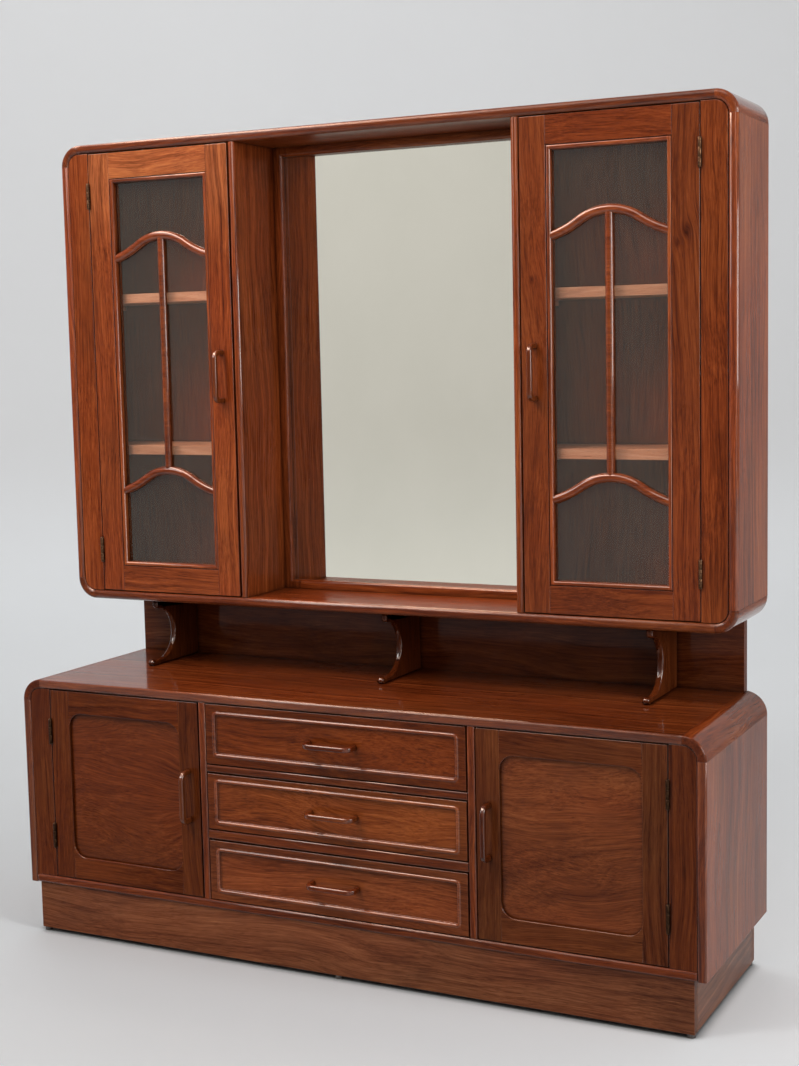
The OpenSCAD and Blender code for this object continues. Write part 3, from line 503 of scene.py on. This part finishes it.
# brightness of the two sides' stiles, rails and panels, and their tints
DOOR_LIGHTS = {
    "left": dict(low_stiles=0.43, panel=0.53, high_stiles=0.95, high_rails=1.00),
    "right": dict(low_stiles=0.37, panel=0.66, high_stiles=0.68, high_rails=0.68),
}
FRAME_TINT = {"left": (1, 1, 0.9), "right": (1, 1.2, 1.45)}
PANEL_TINT = {"left": (1, 1, 0.9), "right": (1, 1.18, 1.45)}
KNOTS = {"left": (), "right": ((0.697, 1.535, 0.011), (0.682, 1.512, 0.006), (0.372, 1.45, 0.006))}
# a painted pool of light on the top of the left glazed door; the right one has none
POOL_OF_LIGHT = {"left": (1.50, 1.74, (1.35, 1.85, 2.4)), "right": None}
for side, shine in DOOR_LIGHTS.items():
    low_frame = dict(tint=FRAME_TINT[side], streak=0.7, gloss=0.05)
    GRAIN[f"base_door_{side}_stiles"] = ("Z", dict(light=shine["low_stiles"], **low_frame))
    GRAIN[f"base_door_{side}_rails"] = ("X", dict(light=0.48, **low_frame))
    GRAIN[f"base_door_{side}_panel"] = ("X", dict(
        light=shine["panel"], tint=PANEL_TINT[side], streak=0.5, calm=0.7, wave=2.0,
    ))
    GRAIN[f"base_door_{side}_pull"] = ("Z", dict(light=0.42, streak=0.5))
    GRAIN[f"upper_door_{side}_stiles"] = ("Z", dict(
        light=shine["high_stiles"], streak=0.8, calm=0.85, knots=KNOTS[side], fade=POOL_OF_LIGHT[side],
    ))
    GRAIN[f"upper_door_{side}_rails"] = ("X", dict(
        light=shine["high_rails"], streak=0.65, calm=0.8, fade=POOL_OF_LIGHT[side],
    ))
    GRAIN[f"upper_door_{side}_beads"] = ("X", dict(light=1.0, upright=(0.5355, 0.1215)))
    GRAIN[f"upper_door_{side}_bars"] = ("X", dict(light=0.78, streak=0.5))
    GRAIN[f"upper_door_{side}_pull"] = ("Z", dict(light=0.55, streak=0.5))
# brightness and tint of each drawer's front; its frame round the raised field is darker
DRAWERS = {"high": (0.72, (1, 0.95, 0.8)), "mid": (0.95, (1, 1.1, 1.1)), "low": (0.94, (1, 1.25, 1.6))}
FIELD_SIDE, FIELD_EDGE, FRAME_SHADE = 0.0175, 0.0125, 0.62
mid_lo, mid_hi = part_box("drawer_mid_front")
field_half = (mid_hi.z - mid_lo.z) / 2 - FIELD_EDGE
for name, (light, tint) in DRAWERS.items():
    lo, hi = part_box(f"drawer_{name}_front")
    middle = (lo.z + hi.z) / 2
    field = (hi.x - FIELD_SIDE, middle - field_half, middle + field_half, FRAME_SHADE)
    GRAIN[f"drawer_{name}_front"] = ("X", dict(
        light=light, tint=tint, gloss=0.08, streak=0.6, calm=0.8, wave=1.6, inside=field,
    ))
    GRAIN[f"drawer_{name}_pull"] = ("X", dict(light=0.60, streak=0.5))
# grain axis of every board of plain wood
PLAIN = {
    "base_back": "X",
    "drawer_runners": "Y",
    "shelves": "X",
    "shelf_battens": "Y",
    "door_stops": "Z",
    "drawer_high_box": "Y",
    "drawer_mid_box": "Y",
    "drawer_low_box": "Y",
}
PLAIN_LIGHT = {"shelves": 0.93, "base_back": 0.5}

seed = 1
for node, (axis, more) in sorted(GRAIN.items()):
    dress(node, wood("wood_" + node, axis, seed, **more))
    seed += 1
for node, axis in sorted(PLAIN.items()):
    dress(node, wood("plain_" + node, axis, seed, light=PLAIN_LIGHT.get(node, 0.9), plain=True))
    seed += 1
metal = brass()
pane = smoky_glass()
dress("glides", foot_plastic())
dress("mirror_glass", mirror())
dress("hinge_frame_leaves", metal)
dress("hinge_pins", metal)
for side in ("left", "right"):
    dress(f"upper_door_{side}_glass", pane)
    dress(f"base_door_{side}_leaves", metal)
    dress(f"upper_door_{side}_leaves", metal)


# edges are eased as a joiner would: no edge of the real piece is knife sharp
EASE = {
    "bars": 0.0046,
    "brackets": 0.0040,
    "stiles": 0.0012,
    "rails": 0.0012,
    "front": 0.0009,
    "panel": 0.0006,
    "glass": 0.0003,
    "leaves": 0.0003,
}
OTHER_EASE = 0.0007
WIDE_EASE = 0.003
SMOOTH = ("pull", "pins", "corners", "glides", "mirror_glass")
for name, o in NODES.items():
    if name.endswith(SMOOTH):
        continue
    weld = o.modifiers.new("weld", "WELD")
    weld.merge_threshold = 0.00001
    ease = o.modifiers.new("ease", "BEVEL")
    ease.width = next((width for ending, width in EASE.items() if name.endswith(ending)), OTHER_EASE)
    ease.segments = 4 if ease.width > WIDE_EASE else 2
    ease.limit_method = "ANGLE"
    ease.angle_limit = math.radians(40)
    ease.use_clamp_overlap = False
    ease.harden_normals = True


# Turned bars of the glazed doors
BAR_WIDTH, BAR_DEPTH = 0.020, 0.013
# the upright bar is a little slimmer each way than the curved ones
SLIMMER = 0.001
# straight part of a bar's sides by the glass, small chamfer of its back, and how full its round front is
HEEL, BACK_CUT, FULLNESS = 0.0025, 0.0008, 0.85
BEAD_WIDTH = 0.010
# steepest slope of a curved bar, slope at its ends, and the crown's share of its half length
STEEP, END_SLOPE, CROWN_SHARE = math.radians(34), math.radians(17), 0.52
# from the beads to the ends of the curved bars, and how far these reach under the beads
HIGH_DROP, LOW_RISE, TAIL = 0.170, 0.168, 0.004
RING_STEPS, CROWN_STEPS, FOOT_STEPS, POST_STEPS = 18, 16, 12, 12


def rod(bm, line, half, deep, back):
    """A bar with a flat back on the glass and a round front, along a line of (x, z) points."""
    ring = []
    for k in range(RING_STEPS + 1):
        a = math.pi * k / RING_STEPS
        ring.append((half * math.cos(a), back - HEEL - (deep - HEEL) * math.sin(a) ** FULLNESS))
    ring.append((-half + BACK_CUT, back))
    ring.append((half - BACK_CUT, back))
    rows = []
    for i, (x, z) in enumerate(line):
        x0, z0 = line[max(i - 1, 0)]
        x1, z1 = line[min(i + 1, len(line) - 1)]
        d = math.hypot(x1 - x0, z1 - z0)
        nx, nz = -(z1 - z0) / d, (x1 - x0) / d
        rows.append([bm.verts.new((x + nx * u, y, z + nz * u)) for u, y in ring])
    m = len(ring)
    for a, b in zip(rows, rows[1:]):
        for k in range(m):
            bm.faces.new((a[k], b[k], b[(k + 1) % m], a[(k + 1) % m]))
    bm.faces.new(rows[0])
    bm.faces.new(list(reversed(rows[-1])))


def curved_line(half):
    """A curved bar's middle line as (x, z) points, a crown between two hollow arcs, and its height."""
    run = half * CROWN_SHARE
    crown_r = run / math.sin(STEEP)
    end_r = (half - run) / (math.sin(STEEP) - math.sin(END_SLOPE))
    fall = crown_r * (1 - math.cos(STEEP))
    height = fall + end_r * (math.cos(END_SLOPE) - math.cos(STEEP))
    line = []
    for k in range(CROWN_STEPS + 1):
        a = STEEP * k / CROWN_STEPS
        line.append((crown_r * math.sin(a), -crown_r * (1 - math.cos(a))))
    cx, cz = run + end_r * math.sin(STEEP), -fall + end_r * math.cos(STEEP)
    for k in range(1, FOOT_STEPS + 1):
        a = STEEP + (END_SLOPE - STEEP) * k / FOOT_STEPS
        line.append((cx - end_r * math.sin(a), cz - end_r * math.cos(a)))
    x, z = line[-1]
    line.append((x + TAIL * math.cos(END_SLOPE), z - TAIL * math.sin(END_SLOPE)))
    return [(-x, z) for x, z in reversed(line[1:])] + line, height


def door_bars(side):
    """The two curved bars and the upright one of a glazed door, in one mesh on that door."""
    lo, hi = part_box(f"upper_door_{side}_glass")
    mid, half = (lo.x + hi.x) / 2, (hi.x - lo.x) / 2 - BEAD_WIDTH
    line, height = curved_line(half)
    high = hi.z - BEAD_WIDTH - HIGH_DROP + height
    low = lo.z + BEAD_WIDTH + LOW_RISE + height
    bm = bmesh.new()
    for z0 in (low, high):
        rod(bm, [(mid + x, z0 + z) for x, z in line], BAR_WIDTH / 2, BAR_DEPTH, lo.y)
    post = [(mid, low + (high - low) * k / POST_STEPS) for k in range(POST_STEPS + 1)]
    rod(bm, post, BAR_WIDTH / 2 - SLIMMER, BAR_DEPTH - SLIMMER, lo.y)
    bmesh.ops.recalc_face_normals(bm, faces=bm.faces)
    me = bpy.data.meshes.new(f"door_bars_{side}")
    bm.to_mesh(me)
    bm.free()
    me.shade_smooth()
    o = bpy.data.objects.new(f"door_bars_{side}", me)
    bpy.context.scene.collection.objects.link(o)
    node = f"upper_door_{side}_bars"
    me.materials.append(NODES[node].data.materials[0])
    mod = o.modifiers.new("sharp", "EDGE_SPLIT")
    mod.split_angle = math.radians(55)
    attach(o, f"upper_door_{side}")
    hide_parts(node)
    return o


BARS = [door_bars("left"), door_bars("right")]


# Stage and light
def floor_paper():
    """Pale paper, a little cooler on the floor than up the wall."""
    t = Tree("floor_paper")
    p = t.coordinate("Object")
    mottle = t.noise(p, 1.3, 3.0)
    high = t.span(t.split(p)["Z"], 0.0, 0.9)
    pale = t.mix(high, (0.900, 0.922, 0.945), (0.775, 0.780, 0.790))
    pale = t.mix(t.math("MULTIPLY", mottle, 0.06), pale, (0.5, 0.5, 0.5))
    # the contact shadow is a little deeper than the soft lamps make it
    contact = t.span(t.nook(0.035), 0.80, 0.42, 0.0, 0.9)
    s = t.node("ShaderNodeBsdfPrincipled")
    t.put(s.inputs["Base Color"], t.mix(contact, pale, (0.05, 0.045, 0.04)))
    s.inputs["Roughness"].default_value = 0.7
    s.inputs["Specular IOR Level"].default_value = 0.2
    return t.finish(s.outputs[0])


def stage_room():
    """Round pale floor that sweeps up into a wall on all sides."""
    flat, sweep, top, sides, sweep_steps = 4.6, 3.0, 6.5, 72, 16
    profile = [(0.6, 0.0), (1.6, 0.0), (3.0, 0.0), (flat, 0.0)]
    for i in range(1, sweep_steps + 1):
        a = math.radians(90 * i / sweep_steps)
        profile.append((flat + sweep * math.sin(a), sweep - sweep * math.cos(a)))
    profile += [(flat + sweep, 4.5), (flat + sweep, top)]
    turns = [math.tau * k / sides for k in range(sides)]
    bm = bmesh.new()
    mid = bm.verts.new((0, 0, 0))
    rows = []
    for d, z in profile:
        rows.append([bm.verts.new((d * math.sin(a), -d * math.cos(a), z)) for a in turns])
    for k in range(sides):
        after = (k + 1) % sides
        bm.faces.new((mid, rows[0][after], rows[0][k]))
        for a, b in zip(rows, rows[1:]):
            bm.faces.new((a[k], a[after], b[after], b[k]))
    bmesh.ops.recalc_face_normals(bm, faces=bm.faces)
    me = bpy.data.meshes.new("floor")
    bm.to_mesh(me)
    bm.free()
    me.shade_smooth()
    me.materials.append(floor_paper())
    o = bpy.data.objects.new("floor", me)
    bpy.context.scene.collection.objects.link(o)
    o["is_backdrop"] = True


def area(name, at, to, size, power, colour):
    lamp = bpy.data.lights.new(name, "AREA")
    lamp.shape = "RECTANGLE"
    lamp.size, lamp.size_y = size
    lamp.energy = power
    lamp.color = colour
    o = bpy.data.objects.new(name, lamp)
    o.location = at
    o.rotation_euler = (Vector(to) - Vector(at)).to_track_quat("-Z", "Y").to_euler()
    bpy.context.scene.collection.objects.link(o)
    return o


# name, place, aim, size in metres, watts and colour of each lamp
LAMPS = [
    ("key", (-2.7, -3.4, 3.3), (0, 0, 1.0), (1.2, 1.2), 48, (1.0, 0.98, 0.95)),
    ("fill", (4.2, -0.6, 2.0), (0.6, 0.1, 0.7), (1.8, 1.8), 116, (1.0, 0.985, 0.97)),
    ("side_strip", (3.0, -2.6, 1.9), (0.4, 0, 1.2), (0.22, 3.6), 30, (1.0, 0.68, 0.52)),
    ("strip", (-1.8, -0.9, 3.9), (-0.7, -0.1, 0.9), (4.0, 0.7), 175, (1.0, 0.67, 0.51)),
    ("canopy", (-1.0, -2.2, 4.3), (-0.2, 0, 1.2), (4.6, 2.4), 160, (1.0, 0.80, 0.69)),
    ("wall_wash", (-2.2, 2.6, 5.2), (-2.6, 6.6, 1.0), (4.5, 1.0), 90, (1, 1, 1)),
    ("front_wash", (-2.6, -3.6, 5.2), (-3.4, -7.4, 1.2), (3.6, 1.0), 95, (1, 1, 1)),
]
# these light only the table, most of all its rounded edges
TABLE_LAMPS = ("side_strip", "strip", "canopy")
WORLD_COLOUR, WORLD_STRENGTH = (0.62, 0.61, 0.59), 0.55

stage_room()
table_only = bpy.data.collections.new("table_only")
for o in list(NODES.values()) + BARS:
    table_only.objects.link(o)
for row in LAMPS:
    lamp = area(*row)
    if lamp.name in TABLE_LAMPS:
        lamp.light_linking.receiver_collection = table_only
world = bpy.data.worlds.new("world")
bpy.context.scene.world = world
world.use_nodes = True
bg = world.node_tree.nodes["Background"]
bg.inputs["Color"].default_value = (*WORLD_COLOUR, 1)
bg.inputs["Strength"].default_value = WORLD_STRENGTH


# Camera
# place in metres, turn to the left, tilt down and roll in degrees, fitted to points of the photograph
CAMERA_AT = (1.67698, -3.19335, 1.31989)
YAW, PITCH, ROLL = math.radians(26.746), math.radians(6.270), math.radians(-1.233)
# focal length for a frame 36 mm high
FOCAL_MM, FILM_MM = 56.85, 36


def camera():
    aim = Vector((-math.sin(YAW) * math.cos(PITCH), math.cos(YAW) * math.cos(PITCH), -math.sin(PITCH)))
    right = Vector((math.cos(YAW), math.sin(YAW), 0))
    up = right.cross(aim)
    x = right * math.cos(ROLL) + up * math.sin(ROLL)
    y = up * math.cos(ROLL) - right * math.sin(ROLL)
    cam = bpy.data.cameras.new("camera")
    cam.sensor_fit = "VERTICAL"
    cam.sensor_height = FILM_MM
    cam.sensor_width = FILM_MM
    cam.lens = FOCAL_MM
    cam.clip_start, cam.clip_end = 0.05, 60
    o = bpy.data.objects.new("camera", cam)
    bpy.context.scene.collection.objects.link(o)
    m = o.matrix_world.copy()
    for i in range(3):
        m[i][0], m[i][1], m[i][2], m[i][3] = x[i], y[i], -aim[i], CAMERA_AT[i]
    o.matrix_world = m
    bpy.context.scene.camera = o


camera()
bpy.context.scene.view_settings.view_transform = "Standard"

lo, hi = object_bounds()
